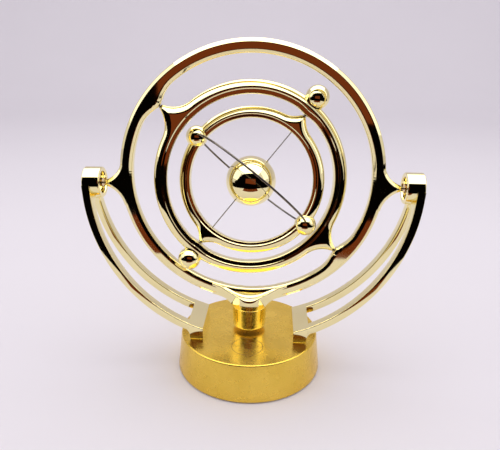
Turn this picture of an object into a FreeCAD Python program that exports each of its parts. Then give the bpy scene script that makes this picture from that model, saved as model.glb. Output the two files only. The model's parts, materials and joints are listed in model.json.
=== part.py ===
import FreeCAD, Part
import math
import os

from FreeCAD import Vector

# Magnet-driven gimbal-ring desk toy. Millimetres, +Z up, +X to the right, the viewer stands at -Y.
# The origin is the middle of the base, on the surface that the rubber feet stand on.

# ---- base drum ----
BASE_R_BOTTOM = 47.5
BASE_R_TOP = 44.8
BASE_BOTTOM_Z = 0.8
BASE_TOP_Z = 25.2
BASE_WALL = 2.2
BASE_EDGE_ROUND = 0.9
COVER_T = 3.2
COVER_GAP = 0.25
COVER_SCREW_SPOTS = ((38.0, 0.0), (-38.0, 0.0), (0.0, -38.0))
POST_R = 3.2
COVER_SCREW_DEPTH = 9.0
FOOT_PAD_R = 3.5
FOOT_PAD_RING_R = 40.4
FOOT_PAD_SINK = 0.4

# ---- generic engraved badge on the base top ----
BADGE_Y = -23.5
BADGE_R = 9.9
BADGE_CUT = 0.25
BADGE_LINE = 0.4
BADGE_PETALS = 8

# ---- battery bay ----
CELL_R = 5.25
CELL_LENGTH = 44.5
CELL_COUNT = 4
CELL_PITCH = 10.9
BAY_HALF_X = CELL_PITCH * CELL_COUNT / 2 + 0.3
BAY_HALF_Y = 26.2
BAY_WALL = 1.2
BAY_ROOF_Z = 16.0
CELL_Z = 9.4
DOOR_T = 1.3
DOOR_Z = 0.95
DOOR_HALF_X = BAY_HALF_X + 1.5
DOOR_HALF_Y = BAY_HALF_Y + 1.5
DOOR_TRAVEL = 8.0
DOOR_GAP = 0.3
TONGUE_REACH = 1.0
TONGUE_T = 0.6
TONGUE_LENGTH = 6.0
TONGUE_SPOTS = (-22.0, 14.0)

# ---- drive electronics ----
BOBBIN_R = 15.0
BOBBIN_HUB_R = 6.0
BOBBIN_FLANGE_T = 0.8
CORE_R = 4.5
COIL_GAP = 0.05
BOARD_X = 20.0
BOARD_Y = 9.0
BOARD_T = 1.2
BOARD_CENTRE_Y = 22.0
BOARD_Z = 17.6
LEAD_R = 0.5

# ---- pivots and rings ----
PIVOT_Z = 122.9
RING_RISE = 2.5
PIN_R = 0.9
PIN_FIT = 0.01
RUNNING_FIT = 0.06
SOCKET_R = 1.6
SOCKET_LENGTH = 3.6

# Edge rounds of the three rings: outer edges, then inner edges.
OUTER_ROUNDS = (2.4, 1.2)
MIDDLE_ROUNDS = (3.4, 1.5)
INNER_ROUNDS = (3.0, 1.3)
MAGNET_FOOT_FLARE = 55.0
MAGNET_FOOT_SPREAD = 28.0

OUTER_R_OUT = 78.7
OUTER_R_IN = 71.1
OUTER_HALF_DEPTH = 3.75
OUTER_EAR_TIP = 88.3
OUTER_BOSS_TIP = 67.9

MIDDLE_R_OUT = 57.7
MIDDLE_R_IN = 49.7
MIDDLE_HALF_DEPTH = 4.0
MIDDLE_EAR_TIP = 67.2
MIDDLE_BOSS_TIP = 49.0

INNER_R_OUT = 43.4
INNER_R_IN = 36.6
INNER_HALF_DEPTH = 3.5
INNER_EAR_TIP = 48.2

# Radii of the concave flares that blend ears and bosses into the rings.
OUTER_EAR_FLARE = 16.0
OUTER_BOSS_FLARE = 21.0
MIDDLE_EAR_FLARE = 16.0
MIDDLE_BOSS_FLARE = 18.0
INNER_EAR_FLARE = 14.0
# How far below the ring's surface a flare starts, so that the two surfaces cross cleanly.
FLARE_SINK = 0.3
EAR_TIP_R = 1.5
BOSS_TIP_R = 2.4
PIN_HOLE_DEPTH = 6.0

# Angles that the rings rest at, in degrees.
OUTER_LEAN = 1.4
AXIS_SLOPE = 39.2
MIDDLE_TURN = -8.7
INNER_TURN = -9.6

# ---- magnet foot of the outer ring ----
CUP_R_TOP = 11.4
CUP_R_BOTTOM = 10.9
CUP_TOP = 80.6
CUP_BOTTOM = 94.9
CUP_WALL = 1.2
SPIGOT_LENGTH = 2.0
MAGNET_R = 9.0
MAGNET_T = 6.0

# ---- balls, rod and hoop ----
PLANET_R = 6.95
PLANET_CENTRE = 61.0
SUN_R = 14.9
ROD_R = 0.35
ROD_SEAT_DEPTH = 2.8
HOOP_R = 41.0
HOOP_WIRE_R = 0.6
HOOP_OFFSET = 0.8
# The hoop leans this much from square to the rod, about the line through the two orbit balls.
HOOP_TILT = -8.9
ORBIT_BALL_R = 6.5
ORBIT_BALL_CENTRE = 41.6
ORBIT_BALL_OFFSET = 0.2
# The hoop and all four small balls sit this much round from the axes, seen from the front.
BALL_TURN = 1.1

# ---- arms ----
ARM_CENTRE_Z = 124.2
ARM_R = 95.8
ARM_T = 4.8
ARM_END_X = 28.8
ARM_FOOT_X = 36.8
ARM_HALF_WIDTHS = ((BASE_TOP_Z, 17.6), (76.0, 13.9), (118.0, 10.0))
SLOT_HALF_WIDTHS = ((BASE_TOP_Z, 11.6), (76.0, 7.6), (118.0, 4.4))
SLOT_FROM = 23.5
SLOT_TO = 81.0
BARREL_R = 9.25
BARREL_IN_X = 90.2
BUSH_R = 2.6
BUSH_LENGTH = 5.0
ARM_SCREW_Y = 10.0
ARM_SCREW_DEPTH = 5.0
SCREW_R = 1.5
SCREW_HEAD_R = 2.8
SCREW_HEAD_T = 1.8

X = Vector(1, 0, 0)
Y = Vector(0, 1, 0)
Z = Vector(0, 0, 1)
ORIGIN = Vector(0, 0, 0)
slope = math.radians(AXIS_SLOPE)
# The middle ring turns about OUTER_AXIS and the inner ring about MIDDLE_AXIS, in a flat ring's frame.
OUTER_AXIS = Vector(math.cos(slope), 0, -math.sin(slope))
MIDDLE_AXIS = Vector(math.sin(slope), 0, math.cos(slope))


def cylinder(radius, start, end):
    """A round bar from start to end."""
    line = end - start
    return Part.makeCylinder(radius, line.Length, start, line)


def box(low, high):
    """A block between two opposite corners."""
    size = high - low
    return Part.makeBox(size.x, size.y, size.z, low)


def ring_blank(r_in, r_out, half_depth, rounds):
    """A flat ring in the XZ plane. rounds: the radius on its outer edges, then on its inner ones."""
    round_out, round_in = rounds
    outer = cylinder(r_out, Vector(0, -half_depth, 0), Vector(0, half_depth, 0))
    inner = cylinder(r_in, Vector(0, -half_depth, 0), Vector(0, half_depth, 0))
    outer = outer.makeFillet(round_out, circles(outer, r_out))
    ring = outer.cut(inner)
    return ring.makeFillet(round_in, circles(ring, r_in))


def circles(shape, radius):
    """The closed round edges of that radius."""
    found = []
    for edge in shape.Edges:
        if isinstance(edge.Curve, Part.Circle) and abs(edge.Curve.Radius - radius) < 1e-6:
            found.append(edge)
    return found


def flare_points(ring_r, flare_r, tip_u, tip_v, outward):
    """Root, middle and tip of a concave arc that leaves a circle smoothly and ends at (tip_u, tip_v)."""
    reach = ring_r + flare_r if outward else ring_r - flare_r
    tip = math.hypot(tip_u, tip_v)
    along = (reach ** 2 - flare_r ** 2 + tip ** 2) / (2 * tip)
    across = math.sqrt(reach ** 2 - along ** 2)
    turn = math.atan2(across, along) + math.atan2(tip_v, tip_u)
    centre = (reach * math.cos(turn), reach * math.sin(turn))
    root = (ring_r * math.cos(turn), ring_r * math.sin(turn))
    mid_u = (root[0] + tip_u) / 2 - centre[0]
    mid_v = (root[1] + tip_v) / 2 - centre[1]
    stretch = flare_r / math.hypot(mid_u, mid_v)
    middle = (centre[0] + mid_u * stretch, centre[1] + mid_v * stretch)
    return root, middle, (tip_u, tip_v)


def trumpet(ring_r, flare_r, tip_u, tip_v, start_u, outward, direction):
    """A solid of revolution about direction: it leaves a ring in a smooth flare and narrows to its tip."""
    root, middle, tip = flare_points(ring_r, flare_r, tip_u, tip_v, outward)
    points = [Vector(u, 0, v) for u, v in (root, middle, tip)]
    start_low = Vector(start_u, 0, 0)
    start_high = Vector(start_u, 0, root[1])
    end_low = Vector(tip_u, 0, 0)
    edges = [
        Part.LineSegment(start_low, start_high).toShape(),
        Part.LineSegment(start_high, points[0]).toShape(),
        Part.Arc(*points).toShape(),
        Part.LineSegment(points[2], end_low).toShape(),
        Part.LineSegment(end_low, start_low).toShape(),
    ]
    face = Part.Face(Part.Wire(edges))
    solid = Part.Solid(face.revolve(ORIGIN, X, 360).Shells[0])
    if solid.Volume < 0:
        solid.reverse()
    # An eighth of a turn keeps the seam away from the ring's flat faces.
    solid.rotate(ORIGIN, X, 45)
    turn = FreeCAD.Placement(ORIGIN, FreeCAD.Rotation(X, direction))
    return solid.transformed(turn.toMatrix())


def slab(half_depth):
    """Everything within half_depth of the XZ plane."""
    size = OUTER_R_OUT + 40
    return box(Vector(-size, -half_depth, -size), Vector(size, half_depth, size))


def ball(radius, centre):
    return Part.makeSphere(radius, centre)


def pose_outer(shape):
    """Puts a piece made in a flat ring's frame where the outer ring rests."""
    moved = shape.copy()
    moved.translate(Vector(0, 0, PIVOT_Z + RING_RISE))
    moved.rotate(Vector(0, 0, PIVOT_Z), X, OUTER_LEAN)
    return moved


def pose_middle(shape):
    moved = shape.copy()
    moved.rotate(ORIGIN, OUTER_AXIS, MIDDLE_TURN)
    return pose_outer(moved)


def pose_inner(shape):
    moved = shape.copy()
    moved.rotate(ORIGIN, MIDDLE_AXIS, INNER_TURN)
    return pose_middle(moved)


def profile_half_width(stations):
    """An upright outline in the YZ plane, symmetric in Y, whose sides are arcs through three stations."""
    (z0, w0), (z1, w1), (z2, w2) = stations
    top_z = PIVOT_Z + 2 * BARREL_R
    right = Part.Arc(Vector(0, w0, z0), Vector(0, w1, z1), Vector(0, w2, z2)).toShape()
    left = Part.Arc(Vector(0, -w2, z2), Vector(0, -w1, z1), Vector(0, -w0, z0)).toShape()
    top = [Vector(0, w2, z2), Vector(0, w2, top_z), Vector(0, -w2, top_z), Vector(0, -w2, z2)]
    edges = [right] + Part.makePolygon(top).Edges + [left]
    edges.append(Part.LineSegment(Vector(0, -w0, z0), Vector(0, w0, z0)).toShape())
    return Part.Face(Part.Wire(edges))


def arm_sector(r_in, r_out, start, end, half_y):
    """A piece of a tube about the arm's centre line, from start to end degrees up from straight down."""
    def at(radius, degrees):
        turn = math.radians(degrees)
        return Vector(radius * math.sin(turn), -half_y, ARM_CENTRE_Z - radius * math.cos(turn))
    middle = (start + end) / 2
    edges = [
        Part.Arc(at(r_in, start), at(r_in, middle), at(r_in, end)).toShape(),
        Part.LineSegment(at(r_in, end), at(r_out, end)).toShape(),
        Part.Arc(at(r_out, end), at(r_out, middle), at(r_out, start)).toShape(),
        Part.LineSegment(at(r_out, start), at(r_in, start)).toShape(),
    ]
    return Part.Face(Part.Wire(edges)).extrude(Vector(0, 2 * half_y, 0))


def arm_foot():
    """The foot block: flat end towards the middle, standing on the base, rising to the arm's underside."""
    half_y = ARM_HALF_WIDTHS[0][1] + 1
    inner_top = ARM_CENTRE_Z - math.sqrt(ARM_R ** 2 - ARM_END_X ** 2)
    reach = ARM_FOOT_X + 4.5
    outer_r = ARM_R + ARM_T
    low_z = ARM_CENTRE_Z - math.sqrt(outer_r ** 2 - reach ** 2)
    mid_x = ARM_FOOT_X + 1.3
    mid_z = BASE_TOP_Z + 0.72 * (low_z - BASE_TOP_Z)
    corners = [
        Vector(ARM_FOOT_X, -half_y, BASE_TOP_Z),
        Vector(ARM_END_X, -half_y, BASE_TOP_Z),
        Vector(ARM_END_X, -half_y, inner_top),
        Vector(reach, -half_y, low_z + ARM_T / 2),
        Vector(reach, -half_y, low_z),
    ]
    edges = Part.makePolygon(corners).Edges
    edges.append(Part.Arc(corners[-1], Vector(mid_x, -half_y, mid_z), corners[0]).toShape())
    return Part.Face(Part.Wire(edges)).extrude(Vector(0, 2 * half_y, 0))


def slot_tool():
    """The long opening of an arm: square at the foot, round at the top."""
    sector = arm_sector(ARM_R - 6, ARM_R + ARM_T + 6, SLOT_FROM, SLOT_TO, 20)
    slot = profile_half_width(SLOT_HALF_WIDTHS).extrude(Vector(2 * ARM_R, 0, 0)).common(sector)
    turn = math.radians(SLOT_TO)
    out = Vector(math.sin(turn), 0, -math.cos(turn))
    centre = Vector(0, 0, ARM_CENTRE_Z)
    end_r = SLOT_HALF_WIDTHS[2][1]
    return slot.fuse(cylinder(end_r, centre + out * (ARM_R - 6), centre + out * (ARM_R + ARM_T + 6)))


def right_arm():
    """The arm on the +X side, with its foot, slot, barrel and pin bore."""
    side = 20
    far = 2 * ARM_R
    start = math.degrees(math.asin(ARM_END_X / ARM_R))
    band = arm_sector(ARM_R, ARM_R + ARM_T, start, 90, side)
    body = band.fuse(arm_foot())
    end_block = box(Vector(ARM_END_X, -side, BASE_TOP_Z), Vector(far, side, far))
    body = body.common(end_block)
    body = body.common(profile_half_width(ARM_HALF_WIDTHS).extrude(Vector(far, 0, 0)))
    body = body.cut(slot_tool())
    barrel_end = Vector(ARM_R + ARM_T, 0, PIVOT_Z)
    barrel = cylinder(BARREL_R, Vector(BARREL_IN_X, 0, PIVOT_Z), barrel_end)
    barrel = barrel.makeFillet(0.5, circles(barrel, BARREL_R))
    above = box(Vector(BARREL_IN_X, -side, PIVOT_Z), Vector(far, side, far))
    body = body.cut(above).fuse(barrel).removeSplitter()
    mouth = Vector(BARREL_IN_X, 0, PIVOT_Z)
    body = body.cut(cylinder(BUSH_R, mouth, mouth + X * BUSH_LENGTH))
    for y in (-ARM_SCREW_Y, ARM_SCREW_Y):
        seat = Vector(arm_screw_x(), y, BASE_TOP_Z)
        body = body.cut(cylinder(SCREW_R, seat - Z, seat + Z * ARM_SCREW_DEPTH))
    return body


def arm_screw_x():
    return (ARM_END_X + ARM_FOOT_X) / 2


def mirror_x(shape):
    return shape.mirror(ORIGIN, X)


def right_bush():
    """Brass bush pressed into the barrel. The outer ring's steel pin turns in it."""
    inside = Vector(BARREL_IN_X, 0, PIVOT_Z)
    end = Vector(BARREL_IN_X + BUSH_LENGTH - 0.1, 0, PIVOT_Z)
    bush = cylinder(BUSH_R - PIN_FIT, inside, end)
    return bush.cut(cylinder(PIN_R + RUNNING_FIT, inside, end - X))


def drum(r_bottom, r_top, low, high):
    return Part.makeCone(r_bottom, r_top, high - low, Vector(0, 0, low))


def drum_radius(z):
    share = (z - BASE_BOTTOM_Z) / (BASE_TOP_Z - BASE_BOTTOM_Z)
    return BASE_R_BOTTOM + (BASE_R_TOP - BASE_R_BOTTOM) * share


def base_shell():
    """The drum: a tapered wall and a flat top, with screw posts inside and the engraved badge on top."""
    inside_top = BASE_TOP_Z - BASE_WALL
    body = drum(BASE_R_BOTTOM, BASE_R_TOP, BASE_BOTTOM_Z, BASE_TOP_Z)
    body = body.makeFillet(BASE_EDGE_ROUND, circles(body, BASE_R_TOP))
    hollow = drum(BASE_R_BOTTOM - BASE_WALL, drum_radius(inside_top) - BASE_WALL, BASE_BOTTOM_Z, inside_top)
    body = body.cut(hollow)
    cover_top = BASE_BOTTOM_Z + COVER_T
    for x, y in COVER_SCREW_SPOTS:
        foot = Vector(x, y, cover_top)
        body = body.fuse(cylinder(POST_R, foot, Vector(x, y, inside_top + 0.5)))
        body = body.cut(cylinder(SCREW_R - 0.3, foot, foot + Z * COVER_SCREW_DEPTH))
    for x in (-arm_screw_x(), arm_screw_x()):
        for y in (-ARM_SCREW_Y, ARM_SCREW_Y):
            low = Vector(x, y, inside_top - 1)
            body = body.cut(cylinder(SCREW_R + 0.2, low, Vector(x, y, BASE_TOP_Z + 1)))
    return body.cut(badge_engraving())


def badge_engraving():
    """A fine circle, and inside it a rosette of plain pointed petals."""
    low = BASE_TOP_Z - BADGE_CUT
    high = BASE_TOP_Z + 1
    centre = Vector(0, BADGE_Y, low)
    top = Vector(0, BADGE_Y, high)
    tool = cylinder(BADGE_R, centre, top).cut(cylinder(BADGE_R - BADGE_LINE, centre, top))
    petal_r = BADGE_R * 0.72
    inner_r = petal_r * 0.3
    middle_r = (inner_r + petal_r) / 2
    half_turn = math.pi / BADGE_PETALS * 0.55
    for i in range(BADGE_PETALS):
        turn = 2 * math.pi * i / BADGE_PETALS
        corners = []
        for radius, offset in ((inner_r, 0), (middle_r, half_turn), (petal_r, 0), (middle_r, -half_turn)):
            angle = turn + offset
            corners.append(Vector(radius * math.sin(angle), BADGE_Y + radius * math.cos(angle), low))
        corners.append(corners[0])
        tool = tool.fuse(Part.Face(Part.makePolygon(corners)).extrude(Vector(0, 0, high - low)))
    return tool


def bottom_cover():
    """The cover: a disc with the battery bay standing on it and a recess for the sliding door under it."""
    low = BASE_BOTTOM_Z
    high = low + COVER_T
    radius = drum_radius(high) - BASE_WALL - COVER_GAP
    body = cylinder(radius, Vector(0, 0, low), Vector(0, 0, high))
    outer_x = BAY_HALF_X + BAY_WALL
    outer_y = BAY_HALF_Y + BAY_WALL
    body = body.fuse(box(Vector(-outer_x, -outer_y, low + 2), Vector(outer_x, outer_y, BAY_ROOF_Z)))
    bay_top = BAY_ROOF_Z - BAY_WALL
    body = body.cut(box(Vector(-BAY_HALF_X, -BAY_HALF_Y, low - 1), Vector(BAY_HALF_X, BAY_HALF_Y, bay_top)))
    recess_x = DOOR_HALF_X + DOOR_GAP
    recess_low_y = -DOOR_HALF_Y - DOOR_GAP
    recess_high_y = DOOR_HALF_Y + DOOR_TRAVEL + DOOR_GAP
    recess_top = DOOR_Z + DOOR_T + DOOR_GAP
    recess_low = Vector(-recess_x, recess_low_y, low - 1)
    body = body.cut(box(recess_low, Vector(recess_x, recess_high_y, recess_top)))
    groove_x = DOOR_HALF_X + TONGUE_REACH + DOOR_GAP
    groove_low = DOOR_Z + DOOR_T - TONGUE_T - DOOR_GAP
    groove = Vector(-groove_x, recess_low_y, groove_low)
    body = body.cut(box(groove, Vector(groove_x, recess_high_y, recess_top)))
    for y in TONGUE_SPOTS:
        notch_low = y + DOOR_TRAVEL - DOOR_GAP
        notch_high = y + DOOR_TRAVEL + TONGUE_LENGTH + DOOR_GAP
        body = body.cut(box(Vector(-groove_x, notch_low, low - 1), Vector(groove_x, notch_high, recess_top)))
    for x, y in COVER_SCREW_SPOTS:
        body = body.cut(cylinder(SCREW_R + 0.1, Vector(x, y, low - 1), Vector(x, y, high + 1)))
        body = body.cut(cylinder(SCREW_HEAD_R + 0.2, Vector(x, y, low - 1), Vector(x, y, low + SCREW_HEAD_T)))
    for spot in pad_spots():
        body = body.cut(cylinder(FOOT_PAD_R + 0.1, spot - Z, spot + Z * (low + FOOT_PAD_SINK)))
    return body


def pad_spots():
    """Centres of the four rubber feet, on the surface that the toy stands on."""
    spots = []
    for degrees in (45, 135, 225, 315):
        turn = math.radians(degrees)
        spots.append(Vector(FOOT_PAD_RING_R * math.cos(turn), FOOT_PAD_RING_R * math.sin(turn), 0))
    return spots


def rubber_feet():
    top = Z * (BASE_BOTTOM_Z + FOOT_PAD_SINK)
    return Part.makeCompound([cylinder(FOOT_PAD_R, spot, spot + top) for spot in pad_spots()])


def battery_door():
    """The sliding door: a plate with four tongues, and grip ribs under its pulling end."""
    low = DOOR_Z
    high = DOOR_Z + DOOR_T
    door = box(Vector(-DOOR_HALF_X, -DOOR_HALF_Y, low), Vector(DOOR_HALF_X, DOOR_HALF_Y, high))
    reach = DOOR_HALF_X + TONGUE_REACH
    for y in TONGUE_SPOTS:
        door = door.fuse(box(Vector(-reach, y, high - TONGUE_T), Vector(reach, y + TONGUE_LENGTH, high)))
    for i in range(5):
        y = DOOR_HALF_Y - 12 + 2 * i
        door = door.cut(box(Vector(-8, y, low - 1), Vector(8, y + 1, low + 0.5)))
    return door.removeSplitter()


def cell_x(index):
    return (index - (CELL_COUNT - 1) / 2) * CELL_PITCH


def battery_cell(index):
    """An AAA cell lying along Y. Neighbours point opposite ways, as in a series bay."""
    way = 1 if index % 2 == 0 else -1
    start = Vector(cell_x(index), -way * CELL_LENGTH / 2, CELL_Z)
    can = cylinder(CELL_R, start, start + Y * way * (CELL_LENGTH - 1))
    can = can.makeFillet(0.4, circles(can, CELL_R))
    nub = cylinder(1.9, start + Y * way * (CELL_LENGTH - 1.2), start + Y * way * CELL_LENGTH)
    return can.fuse(nub)


def contact_spring(index):
    """A cell's negative spring, as the closed outline of its coils: a short stepped cone."""
    way = 1 if index % 2 == 0 else -1
    foot = Vector(cell_x(index), -way * (BAY_HALF_Y - 0.6), CELL_Z)
    spring = None
    for turn in range(3):
        low = foot + Y * way * 1.1 * turn
        ring = cylinder(3.6 - 0.6 * turn, low, low + Y * way * 1.12)
        spring = ring if spring is None else spring.fuse(ring)
    hole = cylinder(1.4, foot - Y * way, foot + Y * way * 4)
    return spring.cut(hole)


def contact_plates():
    """The flat contacts: single ones for the two leads, and bridges between neighbouring cells."""
    plates = []
    half = 4.2
    for side, groups in ((1, ((0, 1), (2, 3))), (-1, ((0, 0), (1, 2), (3, 3)))):
        outer = side * (BAY_HALF_Y - 0.05)
        inner = side * (BAY_HALF_Y - 0.55)
        for first, last in groups:
            low = Vector(cell_x(first) - half, min(outer, inner), CELL_Z - half)
            high = Vector(cell_x(last) + half, max(outer, inner), CELL_Z + half)
            plates.append(box(low, high))
    return Part.makeCompound(plates)


def coil_bobbin():
    low = BAY_ROOF_Z + COIL_GAP
    high = BASE_TOP_Z - BASE_WALL - COIL_GAP
    hub = cylinder(BOBBIN_HUB_R, Vector(0, 0, low), Vector(0, 0, high))
    for z in (low, high - BOBBIN_FLANGE_T):
        hub = hub.fuse(cylinder(BOBBIN_R, Vector(0, 0, z), Vector(0, 0, z + BOBBIN_FLANGE_T)))
    core_hole = cylinder(CORE_R + COIL_GAP, Vector(0, 0, low - 1), Vector(0, 0, high + 1))
    return hub.cut(core_hole).removeSplitter()


def drive_coil():
    """The copper winding, as the closed outline of its turns."""
    low = BAY_ROOF_Z + COIL_GAP + BOBBIN_FLANGE_T + COIL_GAP
    high = BASE_TOP_Z - BASE_WALL - COIL_GAP - BOBBIN_FLANGE_T - COIL_GAP
    winding = cylinder(BOBBIN_R - 0.9, Vector(0, 0, low), Vector(0, 0, high))
    return winding.cut(cylinder(BOBBIN_HUB_R + COIL_GAP, Vector(0, 0, low), Vector(0, 0, high)))


def coil_core():
    low = BAY_ROOF_Z + COIL_GAP
    return cylinder(CORE_R, Vector(0, 0, low), Vector(0, 0, BASE_TOP_Z - BASE_WALL - COIL_GAP))


def circuit_board():
    low = Vector(-BOARD_X / 2, BOARD_CENTRE_Y - BOARD_Y / 2, BOARD_Z)
    return box(low, low + Vector(BOARD_X, BOARD_Y, BOARD_T))


def board_posts():
    """Two plastic posts between the bay's roof and the circuit board."""
    posts = []
    for x in (-BOARD_X / 2 + 2, BOARD_X / 2 - 2):
        posts.append(cylinder(1.2, Vector(x, BOARD_CENTRE_Y, BAY_ROOF_Z), Vector(x, BOARD_CENTRE_Y, BOARD_Z)))
    return Part.makeCompound(posts)


def drive_transistor():
    """A small three-legged transistor: a round body with one flat side."""
    foot = Vector(-5, BOARD_CENTRE_Y, BOARD_Z + BOARD_T)
    body = cylinder(2.0, foot, foot + Z * 3.6)
    return body.cut(box(foot + Vector(-3, -3, -1), foot + Vector(3, -1.2, 5)))


def start_capacitor():
    foot = Vector(4.5, BOARD_CENTRE_Y, BOARD_Z + BOARD_T)
    can = cylinder(2.5, foot, foot + Z * 3.7)
    return can.makeFillet(0.3, circles(can, 2.5))


def resistors():
    """Two small resistors lying on the board: a barrel with thicker ends."""
    pieces = []
    for x in (-0.9, 0.9):
        z = BOARD_Z + BOARD_T + 0.75
        start = Vector(x, BOARD_CENTRE_Y - 2.2, z)
        body = cylinder(0.6, start, start + Y * 4.4)
        for y in (0, 3.4):
            body = body.fuse(cylinder(0.75, start + Y * y, start + Y * (y + 1)))
        pieces.append(body)
    return Part.makeCompound(pieces)


def lead(points, bend):
    """An insulated wire: straight runs joined by arcs that touch them smoothly."""
    edges = []
    last = points[0]
    for before, corner, after in zip(points, points[1:], points[2:]):
        back = (before - corner).normalize()
        ahead = (after - corner).normalize()
        half = back.getAngle(ahead) / 2
        trim = bend / math.tan(half)
        start = corner + back * trim
        end = corner + ahead * trim
        bisector = (back + ahead).normalize()
        middle = corner + bisector * (bend / math.sin(half) - bend)
        edges.append(Part.LineSegment(last, start).toShape())
        edges.append(Part.Arc(start, middle, end).toShape())
        last = end
    edges.append(Part.LineSegment(last, points[-1]).toShape())
    path = Part.Wire(edges)
    section = Part.Wire(Part.makeCircle(LEAD_R, points[0], points[1] - points[0]))
    return path.makePipeShell([section], True, False)


def battery_leads():
    """From the end contacts, up outside the bay and over its roof to the circuit board."""
    wires = []
    over = BAY_ROOF_Z + LEAD_R + 0.3
    for side in (-1, 1):
        x = side * (BAY_HALF_X + BAY_WALL + LEAD_R + 0.3)
        wires.append(lead([
            Vector(x, -20, 8),
            Vector(x, -20, over),
            Vector(x, 19, over),
            Vector(side * (BOARD_X / 2 + 0.1), 20, BOARD_Z + 0.6),
        ], 1.5))
    return Part.makeCompound(wires)


def coil_leads():
    """From the coil's rim to the circuit board."""
    wires = []
    wire_r = 0.3
    middle_z = BOARD_Z + BOARD_T / 2
    coil_y = BOBBIN_R - 0.7
    board_y = BOARD_CENTRE_Y - BOARD_Y / 2 - 0.05
    for x in (-2, 2):
        wires.append(cylinder(wire_r, Vector(x, coil_y, middle_z), Vector(x, board_y, middle_z)))
    return Part.makeCompound(wires)


def screw(spot, direction, length):
    """A round-headed screw: spot is the head's seat, direction the way the shank points."""
    head = cylinder(SCREW_HEAD_R, spot - direction * SCREW_HEAD_T, spot)
    rim = [edge for edge in circles(head, SCREW_HEAD_R) if (edge.CenterOfMass - spot).Length > 0.5]
    head = head.makeFillet(0.5, rim)
    shank = cylinder(SCREW_R - 0.35, spot, spot + direction * length)
    tool = spot - direction * SCREW_HEAD_T
    body = head.fuse(shank)
    across = Y if abs(direction.z) > 0.5 else Z
    for axis in (X, across):
        other = across if axis is X else X
        corner = axis * 1.4 + other * 0.3
        low = tool - corner - direction * 0.2
        high = tool + corner + direction * 0.8
        body = body.cut(sorted_box(low, high))
    return body


def sorted_box(one, other):
    low = Vector(min(one.x, other.x), min(one.y, other.y), min(one.z, other.z))
    high = Vector(max(one.x, other.x), max(one.y, other.y), max(one.z, other.z))
    return box(low, high)


def cover_screws():
    seat = BASE_BOTTOM_Z + SCREW_HEAD_T
    return Part.makeCompound([screw(Vector(x, y, seat), Z, 7) for x, y in COVER_SCREW_SPOTS])


def arm_screws():
    seat = BASE_TOP_Z - BASE_WALL - 0.02
    screws = []
    for x in (-arm_screw_x(), arm_screw_x()):
        for y in (-ARM_SCREW_Y, ARM_SCREW_Y):
            screws.append(screw(Vector(x, y, seat), Z, 6.5))
    return Part.makeCompound(screws)


def eye_prism():
    """Plan of the magnet foot: a round boss that flows into the ring's two flat faces."""
    flare = 14.0
    boss = CUP_R_TOP + 0.1
    centre_y = OUTER_HALF_DEPTH + flare
    centre_x = math.sqrt((boss + flare) ** 2 - centre_y ** 2)
    touch = boss / (boss + flare)
    far = 3 * boss
    edges = []
    for sx, sy in ((1, 1), (-1, -1)):
        strip = Vector(sx * centre_x, sy * OUTER_HALF_DEPTH, 0)
        on_boss = Vector(sx * centre_x * touch, sy * centre_y * touch, 0)
        centre = Vector(sx * centre_x, sy * centre_y, 0)
        toward = ((strip + on_boss) * 0.5 - centre).normalize()
        other = Vector(-on_boss.x, on_boss.y, 0)
        other_strip = Vector(-strip.x, strip.y, 0)
        other_centre = Vector(-centre.x, centre.y, 0)
        other_toward = Vector(-toward.x, toward.y, 0)
        edges.append(Part.LineSegment(Vector(sx * far, strip.y, 0), strip).toShape())
        edges.append(Part.Arc(strip, centre + toward * flare, on_boss).toShape())
        edges.append(Part.Arc(on_boss, Vector(0, sy * boss, 0), other).toShape())
        edges.append(Part.Arc(other, other_centre + other_toward * flare, other_strip).toShape())
        end = Vector(-sx * far, strip.y, 0)
        edges.append(Part.LineSegment(other_strip, end).toShape())
        edges.append(Part.LineSegment(end, Vector(end.x, -end.y, 0)).toShape())
    prism = Part.Face(Part.Wire(Part.sortEdges(edges)[0])).extrude(Vector(0, 0, -2 * OUTER_R_OUT))
    return prism


def magnet_foot():
    """The boss under the ring that carries the magnet cup, with a spigot that plugs the cup."""
    down = Vector(0, 0, -1)
    top_of_cup = CUP_TOP + RING_RISE
    start = OUTER_R_IN * math.cos(math.radians(MAGNET_FOOT_SPREAD))
    flare = trumpet(OUTER_R_OUT, MAGNET_FOOT_FLARE, top_of_cup, CUP_R_TOP, start, True, down)
    inside = cylinder(OUTER_R_IN, Y * -OUTER_R_IN, Y * OUTER_R_IN)
    foot = flare.common(eye_prism()).cut(inside)
    spigot_end = Vector(0, 0, -top_of_cup - SPIGOT_LENGTH)
    return foot.fuse(cylinder(CUP_R_TOP - CUP_WALL - 0.15, Vector(0, 0, -top_of_cup + 1), spigot_end))


def add_features(ring, r_in, r_out, half_depth, features):
    """Fuses ears and bosses to a ring. Each feature: outward, direction, tip, tip radius, flare, rise."""
    start = (r_in + r_out) / 2
    for outward, direction, tip, tip_r, flare, rise in features:
        ring_r = r_out - FLARE_SINK if outward else r_in + FLARE_SINK
        horn = trumpet(ring_r, flare, tip, tip_r, start, outward, direction)
        horn.translate(Vector(0, 0, rise))
        ring = ring.fuse(horn.common(slab(half_depth)))
    return ring


def bore(ring, radius, mouth, direction, depth):
    """Drills a round hole into a ring, from mouth along direction."""
    return ring.cut(cylinder(radius, mouth - direction, mouth + direction * depth))


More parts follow.
